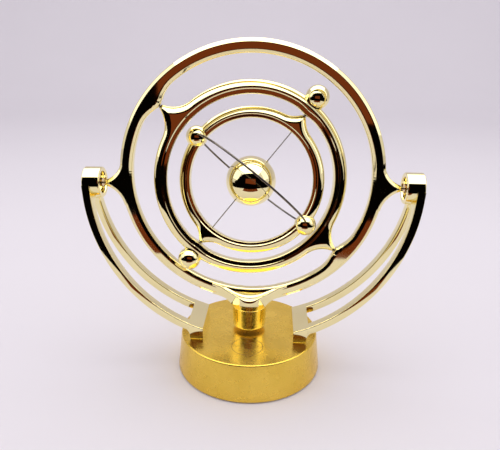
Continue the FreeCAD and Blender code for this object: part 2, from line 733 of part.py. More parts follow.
def outer_ring():
    """The large ring: ears on the swing axis, sockets for the middle ring, and the magnet foot."""
    ring = ring_blank(OUTER_R_IN, OUTER_R_OUT, OUTER_HALF_DEPTH, OUTER_ROUNDS)
    features = []
    for way in (-1, 1):
        features.append((True, X * way, OUTER_EAR_TIP, EAR_TIP_R, OUTER_EAR_FLARE, -RING_RISE))
        features.append((False, OUTER_AXIS * way, OUTER_BOSS_TIP, BOSS_TIP_R, OUTER_BOSS_FLARE, 0))
    ring = add_features(ring, OUTER_R_IN, OUTER_R_OUT, OUTER_HALF_DEPTH, features)
    ring = ring.fuse(magnet_foot()).removeSplitter()
    for way in (-1, 1):
        tip = Vector(way * OUTER_EAR_TIP, 0, -RING_RISE)
        ring = bore(ring, PIN_R + PIN_FIT, tip, X * -way, PIN_HOLE_DEPTH)
        axis = OUTER_AXIS * way
        ring = bore(ring, SOCKET_R + PIN_FIT, axis * OUTER_BOSS_TIP, axis, SOCKET_LENGTH)
    return ring


def socket(axis, tip, way):
    """A brass bush in a ring's inner boss, in which the next ring's pin turns."""
    start = axis * way * tip
    end = axis * way * (tip + SOCKET_LENGTH - 0.05)
    return cylinder(SOCKET_R, start, end).cut(cylinder(PIN_R + RUNNING_FIT, start, end - axis * way * 0.6))


def pin(axis, tip, gap_end, way, root):
    """A steel pivot pin, from inside an ear across the gap into the bush beyond it."""
    return cylinder(PIN_R, axis * way * (tip - root), axis * way * gap_end)


def middle_ring():
    """The middle ring: pointed ears to the outer ring, and short bosses to the inner ring."""
    ring = ring_blank(MIDDLE_R_IN, MIDDLE_R_OUT, MIDDLE_HALF_DEPTH, MIDDLE_ROUNDS)
    features = []
    for way in (-1, 1):
        features.append((True, OUTER_AXIS * way, MIDDLE_EAR_TIP, EAR_TIP_R, MIDDLE_EAR_FLARE, 0))
        features.append((False, MIDDLE_AXIS * way, MIDDLE_BOSS_TIP, BOSS_TIP_R, MIDDLE_BOSS_FLARE, 0))
    ring = add_features(ring, MIDDLE_R_IN, MIDDLE_R_OUT, MIDDLE_HALF_DEPTH, features).removeSplitter()
    for way in (-1, 1):
        ear_axis = OUTER_AXIS * way
        ring = bore(ring, PIN_R + PIN_FIT, ear_axis * MIDDLE_EAR_TIP, ear_axis * -1, PIN_HOLE_DEPTH)
        axis = MIDDLE_AXIS * way
        ring = bore(ring, SOCKET_R + PIN_FIT, axis * MIDDLE_BOSS_TIP, axis, SOCKET_LENGTH)
        ring = ring.cut(ball(PLANET_R + PIN_FIT, planet_centre(way)))
    return ring


def inner_ring():
    """The inner ring: pointed ears to the middle ring, rod holes, and a channel for the hoop."""
    ring = ring_blank(INNER_R_IN, INNER_R_OUT, INNER_HALF_DEPTH, INNER_ROUNDS)
    features = []
    for way in (-1, 1):
        features.append((True, MIDDLE_AXIS * way, INNER_EAR_TIP, EAR_TIP_R, INNER_EAR_FLARE, 0))
    ring = add_features(ring, INNER_R_IN, INNER_R_OUT, INNER_HALF_DEPTH, features).removeSplitter()
    for way in (-1, 1):
        axis = MIDDLE_AXIS * way
        ring = bore(ring, PIN_R + PIN_FIT, axis * INNER_EAR_TIP, axis * -1, PIN_HOLE_DEPTH - 1)
        ring = bore(ring, ROD_R + PIN_FIT, axis * INNER_R_IN, axis, ROD_SEAT_DEPTH + 0.2)
    return ring.cut(hoop_torus(HOOP_WIRE_R + PIN_FIT))


def magnet_cup():
    """The bright cup under the outer ring, open at the top."""
    low = Vector(0, 0, -CUP_BOTTOM - RING_RISE)
    height = CUP_BOTTOM - CUP_TOP - 0.02
    cup = Part.makeCone(CUP_R_BOTTOM, CUP_R_TOP, height, low)
    cup = cup.makeFillet(0.6, circles(cup, CUP_R_BOTTOM))
    return cup.cut(cylinder(CUP_R_TOP - CUP_WALL - 0.1, low + Z * CUP_WALL, low + Z * (height + 1)))


def swing_magnet():
    """The disc magnet on the cup's floor."""
    low = Vector(0, 0, -CUP_BOTTOM - RING_RISE + CUP_WALL + 0.02)
    disc = cylinder(MAGNET_R, low, low + Z * MAGNET_T)
    return disc.makeFillet(0.3, circles(disc, MAGNET_R))


def outer_pivot_pins():
    """The two pins of the swing axis: fixed in the ring's ears, turning in the barrels' bushes."""
    pins = []
    for way in (-1, 1):
        start = Vector(way * (OUTER_EAR_TIP - PIN_HOLE_DEPTH + 0.1), 0, -RING_RISE)
        end = Vector(way * (BARREL_IN_X + BUSH_LENGTH - 1.6), 0, -RING_RISE)
        pins.append(cylinder(PIN_R, start, end))
    return Part.makeCompound(pins)


def ring_pins(axis, ear_tip, boss_tip):
    """Two pins fixed in a ring's ears, which turn in the bushes of the ring outside it."""
    pins = []
    for way in (-1, 1):
        pins.append(pin(axis, ear_tip, boss_tip + SOCKET_LENGTH - 1.2, way, 4.8))
    return Part.makeCompound(pins)


def sun_ball():
    """The large ball in the middle, bored through for the rod."""
    bore = cylinder(ROD_R + PIN_FIT, MIDDLE_AXIS * -20, MIDDLE_AXIS * 20)
    return ball(SUN_R, ORIGIN).cut(bore)


def sun_rod():
    end = INNER_R_IN + ROD_SEAT_DEPTH
    return cylinder(ROD_R, MIDDLE_AXIS * -end, MIDDLE_AXIS * end)


def ball_turn():
    return FreeCAD.Rotation(Y, -BALL_TURN)


def planet_centre(way):
    return ball_turn().multVec(MIDDLE_AXIS) * way * PLANET_CENTRE


def orbit_centre(way):
    along = ball_turn().multVec(OUTER_AXIS) * way * ORBIT_BALL_CENTRE
    return along + MIDDLE_AXIS * ORBIT_BALL_OFFSET


def hoop_torus(wire_r):
    """The hoop's wire, at a given wire radius. Its circle runs through both orbit balls."""
    square = FreeCAD.Rotation(OUTER_AXIS, HOOP_TILT).multVec(MIDDLE_AXIS)
    normal = ball_turn().multVec(square)
    return Part.makeTorus(HOOP_R, wire_r, MIDDLE_AXIS * HOOP_OFFSET, normal)


def orbit_hoop():
    return hoop_torus(HOOP_WIRE_R)


def orbit_ball(way):
    """A ball threaded on the inner ring, with a channel for the hoop."""
    r_in = INNER_R_IN - PIN_FIT
    ring = ring_blank(r_in, INNER_R_OUT + PIN_FIT, INNER_HALF_DEPTH + PIN_FIT, INNER_ROUNDS)
    return ball(ORBIT_BALL_R, orbit_centre(way)).cut(ring).cut(hoop_torus(HOOP_WIRE_R + PIN_FIT))


def base_nodes():
    """The pieces that stand still."""
    arm = right_arm()
    bush = right_bush()
    nodes = {
        "base_shell": base_shell(),
        "bottom_cover": bottom_cover(),
        "rubber_feet": rubber_feet(),
        "cover_screws": cover_screws(),
        "contact_springs": Part.makeCompound([contact_spring(i) for i in range(CELL_COUNT)]),
        "contact_plates": contact_plates(),
        "coil_bobbin": coil_bobbin(),
        "drive_coil": drive_coil(),
        "coil_core": coil_core(),
        "circuit_board": circuit_board(),
        "board_posts": board_posts(),
        "drive_transistor": drive_transistor(),
        "start_capacitor": start_capacitor(),
        "resistors": resistors(),
        "battery_leads": battery_leads(),
        "coil_leads": coil_leads(),
        "right_arm": arm,
        "left_arm": mirror_x(arm),
        "arm_screws": arm_screws(),
        "right_bush": bush,
        "left_bush": mirror_x(bush),
        "battery_door": battery_door(),
    }
    for index in range(CELL_COUNT):
        nodes[f"battery_cell_{index + 1}"] = battery_cell(index)
    return nodes


def outer_nodes():
    return {
        "outer_ring": outer_ring(),
        "outer_pivot_pins": outer_pivot_pins(),
        "outer_socket_upper": socket(OUTER_AXIS, OUTER_BOSS_TIP, -1),
        "outer_socket_lower": socket(OUTER_AXIS, OUTER_BOSS_TIP, 1),
        "magnet_cup": magnet_cup(),
        "swing_magnet": swing_magnet(),
    }


def middle_nodes():
    return {
        "middle_ring": middle_ring(),
        "middle_pivot_pins": ring_pins(OUTER_AXIS, MIDDLE_EAR_TIP, OUTER_BOSS_TIP),
        "middle_socket_upper": socket(MIDDLE_AXIS, MIDDLE_BOSS_TIP, 1),
        "middle_socket_lower": socket(MIDDLE_AXIS, MIDDLE_BOSS_TIP, -1),
        "planet_ball_upper": ball(PLANET_R, planet_centre(1)),
        "planet_ball_lower": ball(PLANET_R, planet_centre(-1)),
    }


def inner_nodes():
    return {
        "inner_ring": inner_ring(),
        "inner_pivot_pins": ring_pins(MIDDLE_AXIS, INNER_EAR_TIP, MIDDLE_BOSS_TIP),
        "sun_rod": sun_rod(),
        "sun_ball": sun_ball(),
        "orbit_hoop": orbit_hoop(),
        "orbit_ball_upper": orbit_ball(-1),
        "orbit_ball_lower": orbit_ball(1),
    }


def export(nodes, pose):
    for name, shape in nodes.items():
        pose(shape).exportStep(f"parts/{name}.step")


os.makedirs("parts", exist_ok=True)
export(base_nodes(), lambda shape: shape)
export(outer_nodes(), pose_outer)
export(middle_nodes(), pose_middle)
export(inner_nodes(), pose_inner)
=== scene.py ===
import json
import math

import bmesh
import bpy
import numpy as np
from mathutils import Matrix, Vector
from mathutils.kdtree import KDTree


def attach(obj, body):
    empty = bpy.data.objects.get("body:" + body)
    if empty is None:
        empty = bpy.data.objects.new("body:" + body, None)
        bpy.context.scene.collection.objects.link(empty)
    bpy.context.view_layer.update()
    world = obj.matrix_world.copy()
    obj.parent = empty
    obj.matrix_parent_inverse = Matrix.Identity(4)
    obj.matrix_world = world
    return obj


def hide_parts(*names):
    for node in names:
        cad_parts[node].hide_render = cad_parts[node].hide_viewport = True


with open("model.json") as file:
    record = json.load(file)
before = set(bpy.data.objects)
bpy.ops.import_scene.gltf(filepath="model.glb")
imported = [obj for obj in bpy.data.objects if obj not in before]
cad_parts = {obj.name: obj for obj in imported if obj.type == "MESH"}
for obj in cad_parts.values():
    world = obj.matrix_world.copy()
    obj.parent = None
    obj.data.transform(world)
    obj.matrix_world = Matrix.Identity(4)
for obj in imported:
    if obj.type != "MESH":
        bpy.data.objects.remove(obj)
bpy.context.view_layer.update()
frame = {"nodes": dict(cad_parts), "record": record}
nodes = frame["nodes"]

MM = 0.001

# ---- sizes from the CAD, in millimetres ----
PIVOT_Z = 122.9
RING_RISE = 2.5
LEAN = 1.4
AXIS_SLOPE = 39.2
MIDDLE_TURN = -8.7
INNER_TURN = -9.6
# A ring's section: its half depth at each distance from the inner and from the outer border. ridge is
# how far from r_in the two sets of mesh rows meet.
OUTER = dict(
    r_in=71.1, r_out=78.7, half=3.75, ridge=3.9,
    from_in=((0, 1.9), (0.12, 2.25), (0.3, 2.55), (1.9, 3.68), (2.2, 3.75)),
    from_out=((0, 1.9), (0.12, 2.2), (0.3, 2.45), (1.8, 3.68), (2.1, 3.75)),
)
MIDDLE = dict(
    r_in=49.7, r_out=57.7, half=4.0, ridge=3.5,
    from_in=((0, 2.9), (0.08, 3.2), (0.22, 3.4), (0.5, 3.5), (2.45, 3.5), (3.1, 3.93), (3.3, 4.0)),
    from_out=((0, 0.5), (0.1, 1.0), (0.3, 1.5), (0.6, 1.95), (1.0, 2.35), (1.5, 2.75),
              (2.0, 3.08), (2.5, 3.34), (3.0, 3.58), (3.5, 3.78), (3.9, 3.92), (4.2, 3.98), (4.6, 4.0)),
)
INNER = dict(
    r_in=36.6, r_out=43.4, half=3.5, ridge=2.7,
    from_in=((0, 2.45), (0.08, 2.75), (0.22, 2.95), (0.5, 3.05), (1.75, 3.05), (2.3, 3.43), (2.5, 3.5)),
    from_out=((0, 0.45), (0.1, 0.85), (0.25, 1.2), (0.5, 1.58), (0.8, 1.88), (1.2, 2.2),
              (1.7, 2.54), (2.2, 2.82), (2.7, 3.07), (3.2, 3.28), (3.6, 3.42), (3.9, 3.48), (4.3, 3.5)),
)
EAR_TIP_R = 1.5
BOSS_TIP_R = 2.4
OUTER_EAR_TIP = 88.3
OUTER_BOSS_TIP = 67.9
MIDDLE_EAR_TIP = 67.2
MIDDLE_BOSS_TIP = 49.0
INNER_EAR_TIP = 48.2
PIN_R = 0.9
WASHER_R = 1.35
SUN_R = 14.9
PLANET_R = 6.95
PLANET_CENTRE = 61.0
ORBIT_BALL_R = 6.5
ORBIT_BALL_CENTRE = 41.6
ORBIT_BALL_OFFSET = 0.2
BALL_TURN = 1.1
HOOP_R = 41.0
HOOP_WIRE_R = 0.6
HOOP_OFFSET = 0.8
HOOP_TILT = -8.9
ROD_R = 0.35
CUP_TOP = 80.6
CUP_BOTTOM = 94.9
CUP_R_TOP = 11.4
CUP_R_BOTTOM = 10.9
FOOT_R = 11.42
FOOT_HALF_X = 24.0
FOOT_DISH = 3.0
FOOT_FLARE = 30.0
BASE_R_BOTTOM = 47.5
BASE_R_TOP = 44.8
BASE_BOTTOM_Z = 0.8
BASE_TOP_Z = 25.2
BASE_WALL = 2.2
BASE_RIM = 1.0
ARM_CENTRE_Z = 124.2
ARM_R = 95.8
ARM_T = 4.8
ARM_END_X = 28.8
ARM_FOOT_X = 36.8
ARM_WIDTHS = ((25.2, 17.6), (76.0, 13.9), (118.0, 10.0))
SLOT_WIDTHS = ((25.2, 11.6), (76.0, 7.6), (118.0, 4.4))
SLOT_FROM = 23.5
SLOT_TO = 81.0
ARM_EDGE = 0.55
BARREL_ANGLE = 89.2
BARREL_R = 9.25
BARREL_IN_X = 90.2
BARREL_ROUND = 0.7
RECESS_DEPTH = 3.2
RECESS_R = 6.6
BUSH_R = 2.62
BUSH_DEPTH = 5.2
BADGE_Y = -23.5
BADGE_R = 9.9


# ---- vectors and poses ----
def unit(v):
    v = np.asarray(v, float)
    return v / np.linalg.norm(v)


def rotation(axis, degrees):
    x, y, z = unit(axis)
    a = math.radians(degrees)
    k = np.array([[0, -z, y], [z, 0, -x], [-y, x, 0]])
    return np.eye(3) + math.sin(a) * k + (1 - math.cos(a)) * (k @ k)


slope = math.radians(AXIS_SLOPE)
OUTER_AXIS = np.array([math.cos(slope), 0, -math.sin(slope)])
MIDDLE_AXIS = np.array([math.sin(slope), 0, math.cos(slope)])
LEAN_TURN = rotation((1, 0, 0), LEAN)
MIDDLE_POSE = rotation(OUTER_AXIS, MIDDLE_TURN)
INNER_POSE = MIDDLE_POSE @ rotation(MIDDLE_AXIS, INNER_TURN)


def pose_base(points):
    return points


def pose_outer(points):
    lifted = points + np.array([0, 0, RING_RISE])
    return lifted @ LEAN_TURN.T + np.array([0, 0, PIVOT_Z])


def pose_middle(points):
    return pose_outer(points @ MIDDLE_POSE.T)


def pose_inner(points):
    return pose_outer(points @ INNER_POSE.T)


# ---- mesh helpers ----
class Build:
    """Gathers points and faces for one piece."""

    def __init__(self):
        self.points = []
        self.faces = []
        self.count = 0

    def grid(self, rows, close_rows, close_columns):
        """rows[i][j] is a point. Neighbouring rows and columns are joined by quads."""
        rows = np.asarray(rows, float)
        n, m = rows.shape[:2]
        for i in range(n if close_rows else n - 1):
            a = self.count + i * m
            b = self.count + (i + 1) % n * m
            for j in range(m if close_columns else m - 1):
                k = (j + 1) % m
                self.faces.append((a + j, a + k, b + k, b + j))
        self.points.append(rows.reshape(-1, 3))
        self.count += n * m

    def revolve(self, profile, start, axis, steps):
        """profile is a list of (distance along axis, radius), from one end of the solid to the other."""
        axis = unit(axis)
        side = unit(np.cross(axis, (0.31, 0.87, 0.41)))
        other = np.cross(axis, side)
        turn = np.linspace(0, 2 * math.pi, steps, endpoint=False)
        around = np.outer(np.cos(turn), side) + np.outer(np.sin(turn), other)
        rows = []
        for along, radius in profile:
            rows.append(np.asarray(start, float) + axis * along + around * max(radius, 1e-4))
        self.grid(rows, False, True)
        for row, turned in ((0, False), (len(rows) - 1, True)):
            ring = [self.count - (len(rows) - row) * steps + j for j in range(steps)]
            self.faces.append(tuple(ring if turned else ring[::-1]))

    def finish(self, name, material, body, replaced, slot, pose=pose_base, sharp=None):
        points = pose(np.concatenate(self.points)) * MM
        mesh = bpy.data.meshes.new(name)
        mesh.from_pydata(points.tolist(), [], self.faces)
        mesh.validate()
        mesh.shade_smooth()
        if sharp:
            mesh.set_sharp_from_angle(angle=math.radians(sharp))
        mesh.update()
        piece = bpy.data.objects.new(name, mesh)
        bpy.context.scene.collection.objects.link(piece)
        mesh.materials.append(material)
        face_outward(mesh)
        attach(piece, body)
        if replaced:
            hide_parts(*replaced)
        return piece


def face_outward(mesh):
    bm = bmesh.new()
    bm.from_mesh(mesh)
    bmesh.ops.recalc_face_normals(bm, faces=bm.faces)
    bm.to_mesh(mesh)
    bm.free()


def arc(centre, radius, start, end, steps):
    """Points on a circle, from start to end degrees, as (along, radius) pairs."""
    turn = np.radians(np.linspace(start, end, steps))
    return [(centre[0] + radius * math.cos(t), centre[1] + radius * math.sin(t)) for t in turn]


def rounded_bar(length, radius, edge, steps=8):
    """Profile of a round bar with rounded rims."""
    low = arc((edge, radius - edge), edge, 180, 90, steps)
    high = arc((length - edge, radius - edge), edge, 90, 0, steps)
    return [(0, 1e-4)] + low + high + [(length, 1e-4)]


# ---- rings ----
class Horn:
    """A pointed ear or a short boss of a ring, joined to the ring by a round flare on each side."""

    def __init__(self, ring_r, flare_r, tip, tip_r, outward, direction, rise=0.0):
        self.direction = unit(direction)
        self.across = np.array([-self.direction[2], 0, self.direction[0]])
        self.rise = rise
        self.tip = tip
        self.outward = outward
        reach = ring_r + flare_r if outward else ring_r - flare_r
        far = math.hypot(tip, tip_r)
        along = (reach ** 2 - flare_r ** 2 + far ** 2) / (2 * far)
        side = math.sqrt(reach ** 2 - along ** 2)
        turn = math.atan2(side, along) + math.atan2(tip_r, tip)
        self.flare_centre = (reach * math.cos(turn), reach * math.sin(turn))
        self.flare_r = flare_r
        self.root_half = ring_r * math.sin(turn)
        self.tip_r = tip_r
        self.tip_round = 0.6 if outward else min(0.6, 0.25 * (ring_r - tip))

    def inside(self, x, z):
        """Whether each point is in the horn, for points that are past the ring's own border."""
        z = z - self.rise
        u = x * self.direction[0] + z * self.direction[2]
        v = np.abs(x * self.across[0] + z * self.across[2])
        clear = np.hypot(u - self.flare_centre[0], v - self.flare_centre[1]) >= self.flare_r
        past = self.tip - u if self.outward else u - self.tip
        drop = self.tip_round - np.clip(past, 0, self.tip_round)
        limit = self.tip_r - self.tip_round + np.sqrt(self.tip_round ** 2 - drop ** 2)
        short = (past >= 0) & ((drop <= 0) | (v <= limit))
        return (u > 0) & (v <= self.root_half) & clear & short


def border(theta, base_r, far_r, horns):
    """The ring's outline radius at each angle: base_r, or as far as a horn reaches."""
    low = np.full_like(theta, base_r)
    high = np.full_like(theta, far_r)
    c, s = np.cos(theta), np.sin(theta)
    touched = np.zeros(len(theta), bool)
    step = 1e-3 if far_r > base_r else -1e-3
    for horn in horns:
        touched |= horn.inside((base_r + step) * c, (base_r + step) * s)
    for _ in range(40):
        middle = (low + high) / 2
        hit = np.zeros(len(theta), bool)
        for horn in horns:
            hit |= horn.inside(middle * c, middle * s)
        low = np.where(hit, middle, low)
        high = np.where(hit, high, middle)
    return np.where(touched, low, base_r)


def outline_limits(shape, horns):
    """For the outer and the inner outline: base radius, a radius past every horn, and outward or not."""
    tips_out = [h.tip for h in horns if h.outward]
    tips_in = [h.tip for h in horns if not h.outward]
    return (
        (shape["r_out"], max(tips_out + [shape["r_out"]]) + 1, True),
        (shape["r_in"], min(tips_in + [shape["r_in"]]) - 1, False),
    )


def spaced_angles(shape, horns, step):
    """Angles round the ring, closer together where the outline is steep."""
    theta = np.linspace(0, 2 * math.pi, 24001)
    length = np.zeros(len(theta) - 1)
    for base_r, far_r, outward in outline_limits(shape, horns):
        r = border(theta, base_r, far_r, [h for h in horns if h.outward == outward])
        x, z = r * np.cos(theta), r * np.sin(theta)
        length = length + np.hypot(np.diff(x), np.diff(z))
    total = np.concatenate([[0], np.cumsum(length)])
    count = int(total[-1] / (2 * step))
    return np.interp(np.linspace(0, total[-1], count, endpoint=False), total, theta)


# A point nearer than this lies on the outline, and takes the outline's own direction.
ON_OUTLINE = 0.06


def smooth_profile(points, blur=0.16, step=0.01):
    """A section's height and slope at each distance, with its corners softened."""
    d = np.arange(0, 40, step)
    y = np.interp(d, [p[0] for p in points], [p[1] for p in points])
    n = int(blur / step)
    padded = np.concatenate([y[0] - (y[1:n + 1] - y[0])[::-1], y, np.full(n, y[-1])])
    soft = np.convolve(padded, np.ones(2 * n + 1) / (2 * n + 1), "valid")
    return d, soft, np.gradient(soft, step)


class Outline:
    """A ring's inner or outer outline, for distances from it."""

    def __init__(self, base_r, far_r, horns):
        theta = np.linspace(0, 2 * math.pi, 24000, endpoint=False)
        r = border(theta, base_r, far_r, horns)
        x, z = r * np.cos(theta), r * np.sin(theta)
        along = np.concatenate([[0], np.cumsum(np.hypot(np.diff(x), np.diff(z)))])
        even = np.arange(0, along[-1], 0.03)
        x, z = np.interp(even, along, x), np.interp(even, along, z)
        self.tree = KDTree(len(even))
        for i in range(len(even)):
            self.tree.insert((x[i], z[i], 0), i)
        self.tree.balance()
        tx, tz = np.gradient(x), np.gradient(z)
        size = np.hypot(tx, tz)
        self.nx, self.nz = tz / size, -tx / size

    def measure(self, x, z):
        """Distance of each point from the outline, and the direction in which it grows."""
        distance = np.empty(x.size)
        grow = np.empty((x.size, 2))
        for i, (px, pz) in enumerate(zip(x.ravel(), z.ravel())):
            near, index, d = self.tree.find((px, pz, 0))
            distance[i] = d
            if d > ON_OUTLINE:
                grow[i] = ((px - near[0]) / d, (pz - near[1]) / d)
            else:
                grow[i] = (self.nx[index], self.nz[index])
        return distance.reshape(x.shape), grow.reshape(x.shape + (2,))


def spread_share(count, low_power, high_power):
    """Shares from 0 to 1, closer together at an end whose power is above 1."""
    t = np.linspace(0, 1, count)
    low = t ** low_power
    high = 1 - (1 - t) ** high_power
    return low * (1 - t) + high * t


def ring_face(shape, x, z, outer_line, inner_line):
    """The ring's half depth at each point, its slope there, and both outlines' growth directions."""
    d_out, g_out = outer_line.measure(x, z)
    d_in, g_in = inner_line.measure(x, z)
    d_out[:, -1] = 0
    d_in[:, 0] = 0
    away_out = (g_out[..., 0] * x + g_out[..., 1] * z > 0) & (d_out < ON_OUTLINE)
    away_in = (g_in[..., 0] * x + g_in[..., 1] * z < 0) & (d_in < ON_OUTLINE)
    g_out *= np.where(away_out, -1, 1)[..., None]
    g_in *= np.where(away_in, -1, 1)[..., None]
    grid, height_out, slope_out = smooth_profile(shape["from_out"])
    grid, height_in, slope_in = smooth_profile(shape["from_in"])
    y_out, y_in = np.interp(d_out, grid, height_out), np.interp(d_in, grid, height_in)
    lower_out = (y_out < y_in)
    y = np.minimum(np.where(lower_out, y_out, y_in), shape["half"])
    lean = np.where(lower_out[..., None], np.interp(d_out, grid, slope_out)[..., None] * g_out,
                    np.interp(d_in, grid, slope_in)[..., None] * g_in)
    return y, lean, g_out, g_in


def ring_rows(shape, horns, step=0.6):
    """Closed sections round the ring, and the surface direction at each of their points."""
    theta = spaced_angles(shape, horns, step)
    limits = outline_limits(shape, horns)
    outward = [h for h in horns if h.outward]
    inward = [h for h in horns if not h.outward]
    r_out = border(theta, limits[0][0], limits[0][1], outward)
    r_in = border(theta, limits[1][0], limits[1][1], inward)
    ridge = shape["r_in"] + shape["ridge"]
    near_in = spread_share(22, 1.7, 1.3)
    near_out = spread_share(24, 1.3, 1.7)[1:]
    r = np.concatenate([r_in[:, None] + (ridge - r_in)[:, None] * near_in[None, :],
                        ridge + (r_out - ridge)[:, None] * near_out[None, :]], 1)
    x = r * np.cos(theta)[:, None]
    z = r * np.sin(theta)[:, None]
    outer_line = Outline(limits[0][0], limits[0][1], outward)
    inner_line = Outline(limits[1][0], limits[1][1], inward)
    y, lean, g_out, g_in = ring_face(shape, x, z, outer_line, inner_line)
    wall = np.linspace(1, -1, 7)[1:-1]
    rows, facing = [], []
    for i in range(len(theta)):
        front = np.stack([x[i], -y[i], z[i]], 1)
        out = [(x[i, -1], -y[i, -1] * w, z[i, -1]) for w in wall]
        back = np.stack([x[i], y[i], z[i]], 1)[::-1]
        inn = [(x[i, 0], y[i, 0] * w, z[i, 0]) for w in wall]
        rows.append(np.concatenate([front, out, back, inn]))
        flat = np.ones(len(front))
        toward_front = np.stack([-lean[i, :, 0], -flat, -lean[i, :, 1]], 1)
        toward_back = np.stack([-lean[i, :, 0], flat, -lean[i, :, 1]], 1)[::-1]
        side_out = [(-g_out[i, -1, 0], 0, -g_out[i, -1, 1])] * len(wall)
        side_in = [(-g_in[i, 0, 0], 0, -g_in[i, 0, 1])] * len(wall)
        facing.append(np.concatenate([toward_front, side_out, toward_back, side_in]))
    facing = np.array(facing)
    return np.array(rows), facing / np.linalg.norm(facing, axis=2, keepdims=True)


def two_ways(axis):
    return (np.asarray(axis, float), -np.asarray(axis, float))


# ---- materials ----
def principled(name, **values):
    material = bpy.data.materials.new(name)
    material.use_nodes = True
    shader = material.node_tree.nodes["Principled BSDF"]
    for key, value in values.items():
        shader.inputs[key].default_value = value
    return material, material.node_tree, shader


def noise(tree, scale, detail, stretch=None):
    """Object-space noise. stretch scales the axes, for wound wire."""
    coords = tree.nodes.new("ShaderNodeTexCoord")
    mapping = tree.nodes.new("ShaderNodeMapping")
    if stretch:
        mapping.inputs["Scale"].default_value = stretch
    texture = tree.nodes.new("ShaderNodeTexNoise")
    texture.inputs["Scale"].default_value = scale
    texture.inputs["Detail"].default_value = detail
    tree.links.new(coords.outputs["Object"], mapping.inputs["Vector"])
    tree.links.new(mapping.outputs["Vector"], texture.inputs["Vector"])
    return texture.outputs["Fac"]


def ramp(tree, source, start, dark, end, light):
    """Maps a value to a colour, from dark at start to light at end."""
    node = tree.nodes.new("ShaderNodeValToRGB")
    for element, place, colour in zip(node.color_ramp.elements, (start, end), (dark, light)):
        element.position = place
        element.color = (*colour, 1)
    tree.links.new(source, node.inputs["Fac"])
    return node.outputs["Color"]


def spread(tree, source, low, high):
    """Maps a 0-1 value to low-high."""
    node = tree.nodes.new("ShaderNodeMapRange")
    node.inputs["From Min"].default_value = 0.3
    node.inputs["From Max"].default_value = 0.7
    node.inputs["To Min"].default_value = low
    node.inputs["To Max"].default_value = high
    tree.links.new(source, node.inputs["Value"])
    return node.outputs["Result"]


def finished(name, metallic, tones, rough, scale, bump_m, stretch=None, grain=(0, 4.0)):
    """A material with uneven tone and gloss, and a fine surface. grain is the bump's scale and detail."""
    material, tree, shader = principled(name, Metallic=metallic)
    tone = ramp(tree, noise(tree, scale, 4.0, stretch), 0.35, tones[0], 0.65, tones[1])
    tree.links.new(tone, shader.inputs["Base Color"])
    gloss = spread(tree, noise(tree, scale * 2.3, 5.0, stretch), *rough)
    tree.links.new(gloss, shader.inputs["Roughness"])
    relief = tree.nodes.new("ShaderNodeBump")
    relief.inputs["Strength"].default_value = 1.0
    relief.inputs["Distance"].default_value = bump_m
    tree.links.new(noise(tree, grain[0] or scale * 6, grain[1], stretch), relief.inputs["Height"])
    tree.links.new(relief.outputs["Normal"], shader.inputs["Normal"])
    return material


def metal(name, dark, light, rough, scale, bump_m, stretch=None, fine=0):
    return finished(name, 1.0, (dark, light), rough, scale, bump_m, stretch, (fine, 4.0))


def plastic(name, dark, light, rough, scale, bump_m):
    return finished(name, 0.0, (dark, light), rough, scale, bump_m, grain=(0, 3.0))


GOLD_CHROME = metal("gold_chrome", (0.91, 0.81, 0.42), (0.93, 0.84, 0.46), (0.03, 0.07), 45, 4e-6, fine=90)
SATIN_GOLD = metal("satin_gold", (0.80, 0.54, 0.08), (0.86, 0.59, 0.10), (0.23, 0.30), 60, 1e-5, fine=1800)
STEEL = metal("steel", (0.34, 0.33, 0.32), (0.46, 0.45, 0.44), (0.12, 0.28), 400, 4e-6)
DARK_STEEL = metal("dark_steel", (0.10, 0.085, 0.075), (0.17, 0.15, 0.135), (0.15, 0.28), 300, 6e-6)
BRASS = metal("brass", (0.70, 0.50, 0.22), (0.80, 0.62, 0.32), (0.16, 0.30), 300, 5e-6)
SPRING_STEEL = metal("spring_steel", (0.60, 0.60, 0.58), (0.74, 0.74, 0.72), (0.2, 0.32), 260, 5e-6)
COPPER = metal("copper", (0.60, 0.28, 0.13), (0.75, 0.40, 0.22), (0.22, 0.35), 500, 3e-5, (1, 1, 14))
CORE_IRON = metal("core_iron", (0.22, 0.22, 0.22), (0.36, 0.35, 0.34), (0.4, 0.55), 300, 2e-5)
MAGNET_NICKEL = metal("magnet_nickel", (0.66, 0.65, 0.62), (0.78, 0.77, 0.75), (0.08, 0.16), 200, 4e-6)
CELL_CAN = metal("cell_can", (0.08, 0.08, 0.09), (0.14, 0.14, 0.15), (0.25, 0.4), 200, 1e-5)
BADGE_INK = metal("badge_ink", (0.30, 0.17, 0.04), (0.42, 0.25, 0.07), (0.35, 0.45), 200, 1e-5)
BLACK_PLASTIC = plastic("black_plastic", (0.018, 0.018, 0.019), (0.032, 0.032, 0.033), (0.45, 0.62),
                        300, 3e-5)
BOBBIN_PLASTIC = plastic("bobbin_plastic", (0.66, 0.63, 0.55), (0.76, 0.73, 0.66), (0.4, 0.55), 200, 1e-5)
RUBBER = plastic("rubber", (0.015, 0.015, 0.015), (0.035, 0.034, 0.033), (0.7, 0.9), 700, 5e-5)
BOARD_GREEN = plastic("board_green", (0.012, 0.11, 0.035), (0.03, 0.19, 0.07), (0.2, 0.4), 420, 1e-5)
COMPONENT_BLACK = plastic("component_black", (0.015, 0.015, 0.016), (0.03, 0.03, 0.03), (0.3, 0.5), 500, 1e-5)
RESISTOR_BODY = plastic("resistor_body", (0.50, 0.36, 0.20), (0.66, 0.50, 0.30), (0.3, 0.45), 500, 1e-5)
WIRE_INSULATION = plastic("wire_insulation", (0.45, 0.02, 0.015), (0.60, 0.04, 0.03), (0.3, 0.45), 400, 1e-5)

